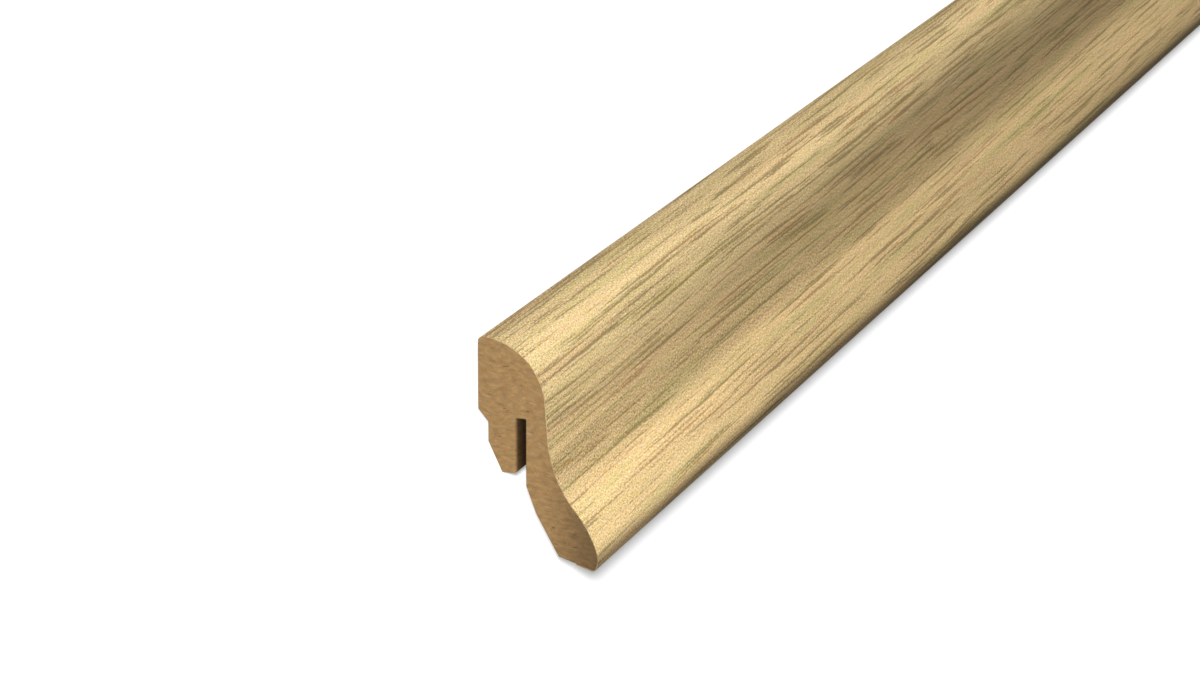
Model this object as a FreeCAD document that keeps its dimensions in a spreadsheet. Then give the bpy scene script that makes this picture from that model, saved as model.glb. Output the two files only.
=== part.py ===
import FreeCAD, Part
import math
import os

import Sketcher

# Clip skirting board, one sales length of it: an S-shaped moulding milled from a strip of MDF
# and wrapped on its front with a thin oak-look decor foil.
#
# Both pieces are drawn as one cross-section of the board as it is mounted: x runs out from the
# wall, y runs up from the finished floor, in millimetres. The section is padded along its normal,
# half the length to each side. The board can't stand by itself, so the finished pieces are turned
# to how a loose length lies on a level floor: decor side up, on the chamfer of its tongue. In that
# frame X runs along the board, the head lies towards +Y, the toe towards -Y and +Z is up.

# Driving dimensions in millimetres and degrees: name, value, what it measures.
SIZES = [
    ("board_length", 2400.0, "length of the board as sold"),
    ("board_height", 40.0, "floor to top edge, mounted"),
    ("board_depth", 21.6, "wall to foremost point of the toe, mounted"),
    ("foil_thickness", 0.2, "decor foil"),
    ("head_radius", 12.2, "round of the head, centred on the wall plane"),
    ("brow_lean", 4.0, "lean of the straight brow from vertical"),
    ("brow_length", 5.8, "straight brow between head and cove"),
    ("swell_radius", 20.6, "convex swell of the foot"),
    ("toe_lean", 16.0, "lean of the front where the swell passes into the toe"),
    ("toe_radius", 3.2, "round of the toe"),
    ("toe_height", 2.0, "floor to the toe's foremost point"),
    ("edge_radius", 0.6, "round under the toe that meets the floor"),
    ("foot_rise", 17.0, "rise of the undercut sole towards the wall"),
    ("foot_width", 7.2, "foremost point of the toe back to the heel"),
    ("foil_return", 3.0, "flat strip of foil turned under the sole"),
    ("corner_radius", 0.8, "broken edge between the wall face and the head"),
    ("wall_face_height", 12.9, "top edge down to the end of the wall face"),
    ("step_depth", 1.8, "wall plane to the stepped back of the tongue"),
    ("step_drop", 15.0, "top edge down to the foot of the step's slope"),
    ("chamfer_drop", 18.5, "top edge down to the start of the tongue's chamfer"),
    ("tip_depth", 4.3, "wall plane to the back edge of the tongue's tip"),
    ("tongue_drop", 23.8, "top edge down to the tongue's tip"),
    ("slot_depth_from_wall", 6.8, "wall plane to the near side of the clip slot"),
    ("slot_width", 1.8, "width of the clip slot"),
    ("slot_drop", 14.1, "top edge down to the root of the clip slot"),
    ("leg_straight", 2.1, "straight back of the leg below the tongue's tip"),
    ("leg_slope", 20.5, "slope of the leg's upper relief from vertical"),
    ("knee_drop", 4.7, "height of the leg's upper relief"),
]
SIZE = {name: value for name, value, note in SIZES}

# Sketcher numbers the points of an edge up from 1, and a sketch's own two axes down from -1.
START, END, CENTRE = range(1, 4)
LEVEL_AXIS, UPRIGHT_AXIS = range(-1, -3, -1)
ORIGIN = (LEVEL_AXIS, START)

SECTION_NORMAL = FreeCAD.Vector(0, 0, 1)

doc = FreeCAD.newDocument("skirting_board")

sheet = doc.addObject("Spreadsheet::Sheet", "Sizes")
for row, (name, value, note) in enumerate(SIZES, start=1):
    sheet.set(f"A{row}", name)
    sheet.set(f"B{row}", str(value))
    sheet.set(f"C{row}", note)
    sheet.setAlias(f"B{row}", name)
doc.recompute()


# Sketching helpers

def at(x, y):
    """A point of the section."""
    return FreeCAD.Vector(x, y, 0)


def towards(angle):
    """Unit step in the section at an angle in degrees from straight out of the wall."""
    return at(math.cos(math.radians(angle)), math.sin(math.radians(angle)))


def new_section(body, name):
    """A sketch on the body's own section plane."""
    sketch = body.newObject("Sketcher::SketchObject", name)
    planes = [item for item in body.Origin.OriginFeatures if item.Role == "XY_Plane"]
    sketch.AttachmentSupport = [(planes[0], "")]
    sketch.MapMode = "FlatFace"
    return sketch


def add_line(sketch, first, last):
    return sketch.addGeometry(Part.LineSegment(first, last), False)


def add_arc(sketch, centre, radius, from_angle, to_angle):
    """An arc that runs anticlockwise between two angles in degrees."""
    circle = Part.Circle(centre, SECTION_NORMAL, radius)
    arc = Part.ArcOfCircle(circle, math.radians(from_angle), math.radians(to_angle))
    return sketch.addGeometry(arc, False)


def drive(sketch, name, rule, kind, *places):
    """A dimension of the sketch that follows a rule written in the sheet's names."""
    value = sketch.evalExpression(rule)
    value = getattr(value, "Value", value)
    if kind == "Angle":
        value = math.radians(value)
    index = sketch.addConstraint(Sketcher.Constraint(kind, *places, value))
    sketch.renameConstraint(index, name)
    sketch.setExpression("Constraints." + name, rule)


def join(sketch, edge, point, next_edge, next_point, kind="Coincident"):
    """Two edges meet in a point, with a corner or, as Tangent, smoothly."""
    sketch.addConstraint(Sketcher.Constraint(kind, edge, point, next_edge, next_point))


# The front: head, brow, cove, swell, toe, the small edge under it, and the sole

def front_layout(inset):
    """Where the front's edges start out, before the sketch's own dimensions hold them.

    The cove has no radius of its own: it is the one arc that leaves the brow smoothly and
    touches the swell.
    """
    head = at(0, SIZE["board_height"] - SIZE["head_radius"])
    out = towards(SIZE["brow_lean"])
    brow_top = head + out * SIZE["head_radius"]
    brow_end = brow_top + towards(SIZE["brow_lean"] - 90) * SIZE["brow_length"]
    toe = at(SIZE["board_depth"] - SIZE["toe_radius"], SIZE["toe_height"])
    swell = toe - towards(SIZE["toe_lean"]) * (SIZE["swell_radius"] - SIZE["toe_radius"])
    gap = brow_end - swell
    cove_radius = (gap.dot(gap) - SIZE["swell_radius"] ** 2) / 2 / (SIZE["swell_radius"] - gap.dot(out))
    cove = brow_end + out * cove_radius
    across = cove - swell
    flank = math.degrees(math.atan2(across.y, across.x))
    drop = SIZE["toe_height"] - SIZE["edge_radius"]
    reach = SIZE["toe_radius"] - SIZE["edge_radius"]
    tuck = math.degrees(math.asin(drop / reach))
    edge = toe + towards(-tuck) * reach
    sole_start = edge + towards(-90 - SIZE["foot_rise"]) * (SIZE["edge_radius"] - inset)
    return {
        "head": head,
        "brow_top": brow_top - out * inset,
        "brow_end": brow_end - out * inset,
        "cove": cove,
        "cove_radius": cove_radius + inset,
        "swell": swell,
        "toe": toe,
        "edge": edge,
        "flank": flank,
        "tuck": tuck,
        "sole_start": sole_start,
    }


def add_front(sketch, side, inset, inset_rule, head_end, sole_length):
    """The front as a chain of tangent edges, inset from the finished face by the foil or not.

    side names the chain's dimensions, head_end is the angle where its head arc stops, and
    sole_length is how far its sole is drawn. Returns the numbers of its edges by name.
    """
    place = front_layout(inset)
    lean = SIZE["brow_lean"]
    flank = place["flank"]
    tuck = place["tuck"]
    rise = SIZE["foot_rise"]
    sole_end = place["sole_start"] + towards(180 - rise) * sole_length

    head = add_arc(sketch, place["head"], SIZE["head_radius"] - inset, lean, head_end)
    brow = add_line(sketch, place["brow_end"], place["brow_top"])
    cove = add_arc(sketch, place["cove"], place["cove_radius"], 180 + lean, 180 + flank)
    swell = add_arc(sketch, place["swell"], SIZE["swell_radius"] - inset, SIZE["toe_lean"], flank)
    toe = add_arc(sketch, place["toe"], SIZE["toe_radius"] - inset, -tuck, SIZE["toe_lean"])
    edge = add_arc(sketch, place["edge"], SIZE["edge_radius"] - inset, -90 - rise, -tuck)
    sole = add_line(sketch, place["sole_start"], sole_end)

    join(sketch, head, START, brow, END, "Tangent")
    join(sketch, brow, START, cove, START, "Tangent")
    join(sketch, cove, END, swell, END, "Tangent")
    join(sketch, swell, START, toe, END, "Tangent")
    join(sketch, toe, START, edge, END, "Tangent")
    join(sketch, edge, START, sole, START, "Tangent")

    sketch.addConstraint(Sketcher.Constraint("PointOnObject", head, CENTRE, UPRIGHT_AXIS))
    drive(sketch, side + "_head_centre", "Sizes.board_height - Sizes.head_radius",
          "DistanceY", *ORIGIN, head, CENTRE)
    drive(sketch, side + "_head_radius", "Sizes.head_radius" + inset_rule, "Radius", head)
    drive(sketch, side + "_brow_lean", "90 + Sizes.brow_lean", "Angle", brow)
    drive(sketch, side + "_brow_length", "Sizes.brow_length", "Distance", brow)
    drive(sketch, side + "_swell_radius", "Sizes.swell_radius" + inset_rule, "Radius", swell)
    drive(sketch, side + "_toe_radius", "Sizes.toe_radius" + inset_rule, "Radius", toe)
    drive(sketch, side + "_toe_place", "Sizes.board_depth - Sizes.toe_radius",
          "DistanceX", *ORIGIN, toe, CENTRE)
    drive(sketch, side + "_toe_height", "Sizes.toe_height", "DistanceY", *ORIGIN, toe, CENTRE)
    drive(sketch, side + "_swell_place",
          "(Sizes.swell_radius - Sizes.toe_radius) * sin(Sizes.toe_lean * 1 deg)",
          "DistanceY", swell, CENTRE, toe, CENTRE)
    drive(sketch, side + "_edge_radius", "Sizes.edge_radius" + inset_rule, "Radius", edge)
    drive(sketch, side + "_edge_height", "Sizes.edge_radius", "DistanceY", *ORIGIN, edge, CENTRE)
    drive(sketch, side + "_foot_rise", "180 - Sizes.foot_rise", "Angle", sole)
    return {"head": head, "brow": brow, "cove": cove, "swell": swell, "toe": toe, "edge": edge,
            "sole": sole}


def pad_length(body, sketch, name):
    """Pad a section to the board's length, half of it to each side."""
    pad = body.newObject("PartDesign::Pad", name)
    pad.Profile = sketch
    pad.SideType = "Symmetric"
    pad.setExpression("Length", "Sizes.board_length")
    return pad


# The core's face stops short of the broken corner, where the foil ends too
FOIL_INSET = " - Sizes.foil_thickness"
CORNER_REACH = "(Sizes.head_radius - Sizes.foil_thickness - Sizes.corner_radius)"
FOIL_EDGE = "(Sizes.head_radius - Sizes.foil_thickness) * Sizes.corner_radius / " + CORNER_REACH

core_head_radius = SIZE["head_radius"] - SIZE["foil_thickness"]
corner_reach = core_head_radius - SIZE["corner_radius"]
foil_edge_angle = math.degrees(math.acos(SIZE["corner_radius"] / corner_reach))


# MDF core: the moulding milled from one strip, with its back relief, tongue and leg

core = doc.addObject("PartDesign::Body", "core_body")
core.Label = "mdf_core"
profile = new_section(core, "core_section")

heel_x = SIZE["board_depth"] - SIZE["foot_width"]
core_start = front_layout(SIZE["foil_thickness"])["sole_start"]
sole_run = (core_start.x - heel_x) / math.cos(math.radians(SIZE["foot_rise"]))
front = add_front(profile, "core", SIZE["foil_thickness"], FOIL_INSET, foil_edge_angle, sole_run)

tip_y = SIZE["board_height"] - SIZE["tongue_drop"]
leg_x = SIZE["slot_depth_from_wall"] + SIZE["slot_width"]
leg_y = tip_y - SIZE["leg_straight"]
knee_x = leg_x + SIZE["knee_drop"] * math.tan(math.radians(SIZE["leg_slope"]))
corner_y = front_layout(0)["head"].y + math.sqrt(corner_reach ** 2 - SIZE["corner_radius"] ** 2)
heel = at(heel_x, core_start.y + sole_run * math.sin(math.radians(SIZE["foot_rise"])))
knee = at(knee_x, leg_y - SIZE["knee_drop"])
leg_top = at(leg_x, leg_y)
slot_mouth = at(leg_x, tip_y)
tip = at(SIZE["tip_depth"], tip_y)
chamfer_top = at(SIZE["step_depth"], SIZE["board_height"] - SIZE["chamfer_drop"])
step_foot = at(SIZE["step_depth"], SIZE["board_height"] - SIZE["step_drop"])
wall_foot = at(0, SIZE["board_height"] - SIZE["wall_face_height"])
wall_top = at(0, corner_y)

lower_relief = add_line(profile, heel, knee)
upper_relief = add_line(profile, knee, leg_top)
leg_back = add_line(profile, leg_top, slot_mouth)
tongue_end = add_line(profile, slot_mouth, tip)
chamfer = add_line(profile, tip, chamfer_top)
tongue_back = add_line(profile, chamfer_top, step_foot)
step_slope = add_line(profile, step_foot, wall_foot)
wall_face = add_line(profile, wall_foot, wall_top)
corner = add_arc(profile, at(SIZE["corner_radius"], corner_y), SIZE["corner_radius"],
                 foil_edge_angle, 180)

back = [front["sole"], lower_relief, upper_relief, leg_back, tongue_end, chamfer, tongue_back,
        step_slope, wall_face]
for edge, next_edge in zip(back, back[1:]):
    join(profile, edge, END, next_edge, START)
join(profile, wall_face, END, corner, END, "Tangent")
join(profile, corner, START, front["head"], END, "Tangent")

profile.addConstraint(Sketcher.Constraint("Vertical", leg_back))
profile.addConstraint(Sketcher.Constraint("Horizontal", tongue_end))
profile.addConstraint(Sketcher.Constraint("Vertical", tongue_back))
profile.addConstraint(Sketcher.Constraint("Vertical", wall_face))
profile.addConstraint(Sketcher.Constraint("PointOnObject", wall_face, START, UPRIGHT_AXIS))

drive(profile, "heel_place", "Sizes.board_depth - Sizes.foot_width",
      "DistanceX", *ORIGIN, lower_relief, START)
drive(profile, "knee_drop", "Sizes.knee_drop", "DistanceY", upper_relief, START, upper_relief, END)
drive(profile, "leg_slope", "90 + Sizes.leg_slope", "Angle", upper_relief)
drive(profile, "leg_place", "Sizes.slot_depth_from_wall + Sizes.slot_width",
      "DistanceX", *ORIGIN, leg_back, START)
drive(profile, "leg_straight", "Sizes.leg_straight", "Distance", leg_back)
drive(profile, "tip_height", "Sizes.board_height - Sizes.tongue_drop",
      "DistanceY", *ORIGIN, chamfer, START)
drive(profile, "tip_depth", "Sizes.tip_depth", "DistanceX", *ORIGIN, chamfer, START)
drive(profile, "step_depth", "Sizes.step_depth", "DistanceX", *ORIGIN, tongue_back, START)
drive(profile, "chamfer_height", "Sizes.board_height - Sizes.chamfer_drop",
      "DistanceY", *ORIGIN, tongue_back, START)
drive(profile, "step_height", "Sizes.board_height - Sizes.step_drop",
      "DistanceY", *ORIGIN, step_slope, START)
drive(profile, "wall_foot_height", "Sizes.board_height - Sizes.wall_face_height",
      "DistanceY", *ORIGIN, wall_face, START)
drive(profile, "corner_radius", "Sizes.corner_radius", "Radius", corner)

core_pad = pad_length(core, profile, "milled_strip")


# Clip slot: the groove sawn up behind the leg, which the wall clips' springs slide into

slot = new_section(core, "slot_section")
slot_left = SIZE["slot_depth_from_wall"]
root_y = SIZE["board_height"] - SIZE["slot_drop"]
slot_corners = [at(slot_left, tip_y), at(leg_x, tip_y), at(leg_x, root_y), at(slot_left, root_y)]
slot_sides = []
for first, last in zip(slot_corners, slot_corners[1:] + slot_corners[:1]):
    slot_sides.append(add_line(slot, first, last))
mouth, leg_side, root, tongue_side = slot_sides
for side, next_side in zip(slot_sides, slot_sides[1:] + slot_sides[:1]):
    join(slot, side, END, next_side, START)
for side in (mouth, root):
    slot.addConstraint(Sketcher.Constraint("Horizontal", side))
for side in (leg_side, tongue_side):
    slot.addConstraint(Sketcher.Constraint("Vertical", side))
drive(slot, "slot_place", "Sizes.slot_depth_from_wall", "DistanceX", *ORIGIN, mouth, START)
drive(slot, "slot_width", "Sizes.slot_width", "DistanceX", mouth, START, mouth, END)
drive(slot, "mouth_height", "Sizes.board_height - Sizes.tongue_drop",
      "DistanceY", *ORIGIN, mouth, START)
drive(slot, "root_height", "Sizes.board_height - Sizes.slot_drop",
      "DistanceY", *ORIGIN, root, START)

clip_slot = core.newObject("PartDesign::Pocket", "clip_slot")
clip_slot.Profile = slot
clip_slot.Type = "ThroughAll"
clip_slot.SideType = "Symmetric"


# Decor foil: glued over the whole front, from the broken top corner to a strip under the sole

foil = doc.addObject("PartDesign::Body", "foil_body")
foil.Label = "decor_foil"
wrap = new_section(foil, "foil_section")
face = add_front(wrap, "face", 0, "", foil_edge_angle, SIZE["foil_return"])
glue = add_front(wrap, "glue", SIZE["foil_thickness"], FOIL_INSET, foil_edge_angle,
                 SIZE["foil_return"])

edge_out = towards(foil_edge_angle)
head_centre = front_layout(0)["head"]
top_edge = add_line(wrap, head_centre + edge_out * core_head_radius,
                    head_centre + edge_out * SIZE["head_radius"])
sole_back = towards(180 - SIZE["foot_rise"]) * SIZE["foil_return"]
sole_edge = add_line(wrap, front_layout(0)["sole_start"] + sole_back,
                     front_layout(SIZE["foil_thickness"])["sole_start"] + sole_back)
join(wrap, top_edge, START, glue["head"], END)
join(wrap, top_edge, END, face["head"], END)
join(wrap, sole_edge, START, face["sole"], END)
join(wrap, sole_edge, END, glue["sole"], END)
wrap.addConstraint(Sketcher.Constraint("PointOnObject", face["head"], CENTRE, top_edge))
wrap.addConstraint(Sketcher.Constraint("Perpendicular", face["sole"], sole_edge))
drive(wrap, "foil_edge", FOIL_EDGE, "DistanceX", *ORIGIN, top_edge, START)
drive(wrap, "foil_return", "Sizes.foil_return", "Distance", face["sole"])

foil_pad = pad_length(foil, wrap, "foil_wrap")

doc.recompute()


# Lay the pieces down: the tongue's chamfer flat on the floor, the decor side up

def lay_down():
    """The placement that both pieces share, from the section's frame to the lying board's."""
    slope = tip - chamfer_top
    lean = math.atan2(slope.x, -slope.y)
    out = FreeCAD.Vector(0, -math.sin(lean), math.cos(lean))
    up = FreeCAD.Vector(0, math.cos(lean), math.sin(lean))
    turn = FreeCAD.Rotation(out, up, out.cross(up), "XYZ")
    turned = Part.makeCompound([core.Shape, foil.Shape])
    turned.Placement = FreeCAD.Placement(FreeCAD.Vector(), turn)
    box = turned.optimalBoundingBox(False)
    shift = FreeCAD.Vector(-box.Center.x, -box.Center.y, -box.ZMin)
    return FreeCAD.Placement(shift, turn)


lying = lay_down()
core.Placement = lying
foil.Placement = lying
doc.recompute()


# Nothing is written before every object has built and both pieces are whole

for item in doc.Objects:
    if "Invalid" in item.State or "Error" in item.State:
        raise RuntimeError(f"{item.Label} failed: {item.State}")
for sketch in (profile, slot, wrap):
    if not sketch.FullyConstrained:
        raise RuntimeError(f"{sketch.Label} isn't held by its dimensions")

os.makedirs("parts", exist_ok=True)
for piece in (core, foil):
    shape = piece.Shape
    if shape.isNull() or not shape.isValid() or len(shape.Solids) != 1:
        raise RuntimeError(f"{piece.Label} isn't one whole solid")
    shape.exportStep(f"parts/{piece.Label}.step")
    print(piece.Label, "volume", round(shape.Volume, 1), "mm3")

print("cove radius", round(wrap.Geometry[face["cove"]].Radius, 2), "mm")
box = Part.makeCompound([core.Shape, foil.Shape]).optimalBoundingBox(False)
print("lying size", round(box.XLength, 2), round(box.YLength, 2), round(box.ZLength, 2), "mm")
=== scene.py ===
# %% [markdown]
# # A length of clip skirting board
#
# This lesson dresses one sales length of skirting board: an S-shaped moulding milled from MDF, with
# a thin printed oak foil glued over its front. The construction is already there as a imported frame,
# so every piece made here takes the place of one part of that frame and lies exactly where it lies.

# %% Load the frame
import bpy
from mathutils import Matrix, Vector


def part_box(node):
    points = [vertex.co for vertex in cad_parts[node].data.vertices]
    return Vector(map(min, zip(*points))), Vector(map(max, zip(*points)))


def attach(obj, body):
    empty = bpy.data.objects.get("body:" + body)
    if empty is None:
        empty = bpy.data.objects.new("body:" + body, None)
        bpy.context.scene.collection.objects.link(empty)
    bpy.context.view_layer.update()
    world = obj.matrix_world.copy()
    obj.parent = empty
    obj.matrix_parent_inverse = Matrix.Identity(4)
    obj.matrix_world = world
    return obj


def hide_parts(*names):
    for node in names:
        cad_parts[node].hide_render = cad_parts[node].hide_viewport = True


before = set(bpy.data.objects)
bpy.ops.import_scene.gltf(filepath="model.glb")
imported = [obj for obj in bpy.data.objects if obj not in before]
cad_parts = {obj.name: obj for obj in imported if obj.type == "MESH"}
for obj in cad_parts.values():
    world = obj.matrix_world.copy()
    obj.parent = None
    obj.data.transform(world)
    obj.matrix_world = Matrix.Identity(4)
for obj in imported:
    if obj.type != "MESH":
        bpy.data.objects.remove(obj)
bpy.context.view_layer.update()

import math
from typing import NamedTuple

import bpy
from mathutils import Matrix, Vector

# %% [markdown]
# ## The sizes
#
# A moulding is one cross-section repeated along its length, so nearly all of its sizes belong to the
# section. They are written in millimetres as a joiner would read them off the mounted board: "out"
# is the distance from the wall and "up" the height above the floor. Blender works in metres, and one
# factor turns the one into the other where the points are placed. Angles are in degrees.

# %% Sizes of the front
MM = 0.001
BOARD_LENGTH = 2400.0
BOARD_HEIGHT = 40.0
BOARD_DEPTH = 21.6
FOIL_THICKNESS = 0.2

HEAD_RADIUS = 12.2      # the rounded top
BROW_LEAN = 4.0         # how far the straight below it leans outwards
BROW_LENGTH = 5.8
SWELL_RADIUS = 20.6     # the bulge over the toe
TOE_LEAN = 16.0         # where the swell hands over to the toe
TOE_RADIUS = 3.2
TOE_HEIGHT = 2.0        # up to the centre of the toe's round
EDGE_RADIUS = 0.6       # the last tight turn, into the sole
FOOT_RISE = 17.0        # how the sole rises towards the back
FOOT_WIDTH = 7.2
FOIL_RETURN = 3.0       # foil turned under the sole
CORNER_RADIUS = 0.8     # the broken corner between the wall face and the head
print("board", BOARD_LENGTH, "x", BOARD_HEIGHT, "x", BOARD_DEPTH, "mm")

# %% [markdown]
# ## The sizes of the back
#
# The back is milled from straight cuts: a wall face, a stepped tongue with a chamfer, a slot for the
# clip, and a leg that is cut away behind. A size that ends in "drop" is measured down from the top, so
# that the back keeps its place under the wall face when the board is made higher. The knee's is the
# exception: it is measured from where the leg starts to slope.

# %% Sizes of the back
WALL_FACE_HEIGHT = 12.9
STEP_DEPTH = 1.8              # how far the tongue stands back from the wall
STEP_DROP = 15.0
CHAMFER_DROP = 18.5
TIP_DEPTH = 4.3               # where the chamfer ends at the tongue's tip
TONGUE_DROP = 23.8
SLOT_DEPTH_FROM_WALL = 6.8
SLOT_WIDTH = 1.8
SLOT_DROP = 14.1              # down to the root of the slot
LEG_STRAIGHT = 2.1
LEG_SLOPE = 20.5
KNEE_DROP = 4.7
print("slot", SLOT_WIDTH, "mm wide and", round(TONGUE_DROP - SLOT_DROP, 1), "mm deep")

# %% [markdown]
# ## The front as tangent arcs
#
# The front of the real board is cut by one shaped cutter, so its curves run into each other without
# a corner. A curve object or a subdivided cage could copy that, but arcs with their own centres are
# exact, and moving every arc inwards by the foil's thickness gives the glued face underneath. The
# cove has no radius of its own: it is the one arc that leaves the brow smoothly and touches the swell.

# %% Arcs of the front
def towards(degrees):
    """Unit step in the section, at an angle from straight out of the wall."""
    return Vector((math.cos(math.radians(degrees)), math.sin(math.radians(degrees))))


HEAD = Vector((0, BOARD_HEIGHT - HEAD_RADIUS))
BROW_OUT = towards(BROW_LEAN)
BROW_END = HEAD + BROW_OUT * HEAD_RADIUS + towards(BROW_LEAN - 90) * BROW_LENGTH
TOE = Vector((BOARD_DEPTH - TOE_RADIUS, TOE_HEIGHT))
SWELL = TOE - towards(TOE_LEAN) * (SWELL_RADIUS - TOE_RADIUS)
GAP = BROW_END - SWELL
COVE_RADIUS = (GAP.dot(GAP) - SWELL_RADIUS ** 2) / 2 / (SWELL_RADIUS - GAP.dot(BROW_OUT))
COVE = BROW_END + BROW_OUT * COVE_RADIUS
FLANK = math.degrees(math.atan2(COVE.y - SWELL.y, COVE.x - SWELL.x))
TUCK = math.degrees(math.asin((TOE_HEIGHT - EDGE_RADIUS) / (TOE_RADIUS - EDGE_RADIUS)))
EDGE = TOE + towards(-TUCK) * (TOE_RADIUS - EDGE_RADIUS)
CORNER_REACH = HEAD_RADIUS - FOIL_THICKNESS - CORNER_RADIUS
FOIL_START = math.degrees(math.acos(CORNER_RADIUS / CORNER_REACH))
SOLE = -90 - FOOT_RISE

print("cove radius", round(COVE_RADIUS, 2), "mm, flank", round(FLANK, 1), "degrees")

# %% [markdown]
# ## From arcs to points
#
# A mesh has no arcs, only points. One every degree keeps the head, cove and swell smooth in a close
# look, while the small rounds of the toe and the edge need far fewer to look just as round.

# %% Points along an arc
ARC_STEP = 1.0      # degrees
TOE_STEP = 6.0
EDGE_STEP = 12.0


def arc(centre, radius, first, last, step=ARC_STEP):
    """Points from one angle to another, at most `step` degrees apart, both ends included."""
    count = max(2, math.ceil(abs(last - first) / step))
    angles = [first + (last - first) * i / count for i in range(count + 1)]
    return [centre + towards(angle) * radius for angle in angles]


def front_line(inset):
    """The front from the broken top corner to the start of the sole, inset from its finished face."""
    return (
        arc(HEAD, HEAD_RADIUS - inset, FOIL_START, BROW_LEAN)
        + arc(COVE, COVE_RADIUS + inset, 180 + BROW_LEAN, 180 + FLANK)
        + arc(SWELL, SWELL_RADIUS - inset, FLANK, TOE_LEAN)[1:]
        + arc(TOE, TOE_RADIUS - inset, TOE_LEAN, -TUCK, TOE_STEP)[1:]
        + arc(EDGE, EDGE_RADIUS - inset, -TUCK, SOLE, EDGE_STEP)[1:]
    )


face_line = front_line(0)
glue_line = front_line(FOIL_THICKNESS)
print("points on the front", len(face_line))

# %% [markdown]
# ## The milled back
#
# Behind the front come the sole, the relieved leg, the clip slot, the tongue and the wall face. Cutters
# leave crisp but never razor-sharp edges in MDF. A Bevel modifier could round them, but it would also
# touch the arcs of the front, so a small helper rounds only the corners of this line.

# %% A helper that rounds corners
BROKEN_EDGE = 0.22     # mm
ROUND_STEPS = 3
SIDE_PARTS = 3


def rounded(points, radius):
    """The points with each inner corner replaced by a small curve that touches both its sides.

    A curve never takes more than one part in SIDE_PARTS of a side.
    """
    line = [points[0]]
    for before, corner, after in zip(points, points[1:], points[2:]):
        back = (before - corner).normalized()
        ahead = (after - corner).normalized()
        shorter = min((before - corner).length, (after - corner).length)
        reach = min(radius / math.tan(back.angle(ahead) / 2), shorter / SIDE_PARTS)
        first = corner + back * reach
        last = corner + ahead * reach
        for i in range(ROUND_STEPS + 1):
            at = i / ROUND_STEPS
            line.append((1 - at) ** 2 * first + 2 * at * (1 - at) * corner + at ** 2 * last)
    return line + [points[-1]]


# %% [markdown]
# ## The corners one by one
#
# Each corner is a pair of numbers, out and up, in the order in which the outline runs: along the
# sole, up the leg, into the slot and out again, round the tongue and up the wall face. Every number
# comes from the sizes above, so a changed size moves all the corners that hang on it.

# %% Corners of the back
tip_up = BOARD_HEIGHT - TONGUE_DROP
root_up = BOARD_HEIGHT - SLOT_DROP
leg_out = SLOT_DEPTH_FROM_WALL + SLOT_WIDTH
leg_up = tip_up - LEG_STRAIGHT
knee_out = leg_out + KNEE_DROP * math.tan(math.radians(LEG_SLOPE))
heel_out = BOARD_DEPTH - FOOT_WIDTH
sole_start = glue_line[-1]
heel_up = sole_start.y + (sole_start.x - heel_out) * math.tan(math.radians(FOOT_RISE))
corner_up = HEAD.y + math.sqrt(CORNER_REACH ** 2 - CORNER_RADIUS ** 2)
chamfer_top = Vector((STEP_DEPTH, BOARD_HEIGHT - CHAMFER_DROP))
tongue_tip = Vector((TIP_DEPTH, tip_up))

back_corners = [
    sole_start,
    Vector((heel_out, heel_up)),
    Vector((knee_out, leg_up - KNEE_DROP)),
    Vector((leg_out, leg_up)),
    Vector((leg_out, root_up)),
    Vector((SLOT_DEPTH_FROM_WALL, root_up)),
    Vector((SLOT_DEPTH_FROM_WALL, tip_up)),
    tongue_tip,
    chamfer_top,
    Vector((STEP_DEPTH, BOARD_HEIGHT - STEP_DROP)),
    Vector((0, BOARD_HEIGHT - WALL_FACE_HEIGHT)),
    Vector((0, corner_up)),
]
back_line = rounded(back_corners, BROKEN_EDGE)
print("corners of the back", len(back_corners), "rounded to", len(back_line), "points")

# %% [markdown]
# ## Two closed outlines
#
# The MDF core is everything behind the glue. The foil is a strip of even thickness that follows the
# face on one side and the glue on the other. It could be a plain sheet with a Solidify modifier, but
# the two lines are there already, and between them they leave no gap and no overlap.

# %% Outlines of the core and the foil
top_corner = arc(Vector((CORNER_RADIUS, corner_up)), CORNER_RADIUS, 180, FOIL_START, EDGE_STEP)
core_section = glue_line + back_line[1:-1] + top_corner[:-1]

sole_back = towards(180 - FOOT_RISE) * FOIL_RETURN
foil_section = face_line + [face_line[-1] + sole_back]
foil_glue = glue_line + [glue_line[-1] + sole_back]
print("core outline", len(core_section), "points, foil", len(foil_section) + len(foil_glue))

# %% [markdown]
# ## From the section to the floor
#
# The loose board can't stand up, so it lies on the chamfer of its tongue with the decor side up. The
# objects could be turned after they are made, but then their points wouldn't be in the frame's own
# axes. So the turn, which comes from the chamfer's own slope, goes into every point, and the shift
# comes from the box of the frame's core.

# %% The turn that lays the board down
slope = tongue_tip - chamfer_top
LEAN = math.atan2(slope.x, -slope.y)
OUT = Vector((0, -math.sin(LEAN), math.cos(LEAN)))
UP = Vector((0, math.cos(LEAN), math.sin(LEAN)))
ALONG = Vector((1, 0, 0))

core_low, core_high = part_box("mdf_core")
raw_top = max((OUT * p.x + UP * p.y).y for p in core_section) * MM
raw_floor = min((OUT * p.x + UP * p.y).z for p in (chamfer_top, tongue_tip)) * MM
SHIFT = Vector((0, core_high[1] - raw_top, core_low[2] - raw_floor))


def place(along, point):
    """A point of the section, at a distance in mm from the board's middle, in the row frame."""
    return SHIFT + (ALONG * along + OUT * point.x + UP * point.y) * MM


print("lean", round(math.degrees(LEAN), 2), "degrees; shift", [round(v, 5) for v in SHIFT])

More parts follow.
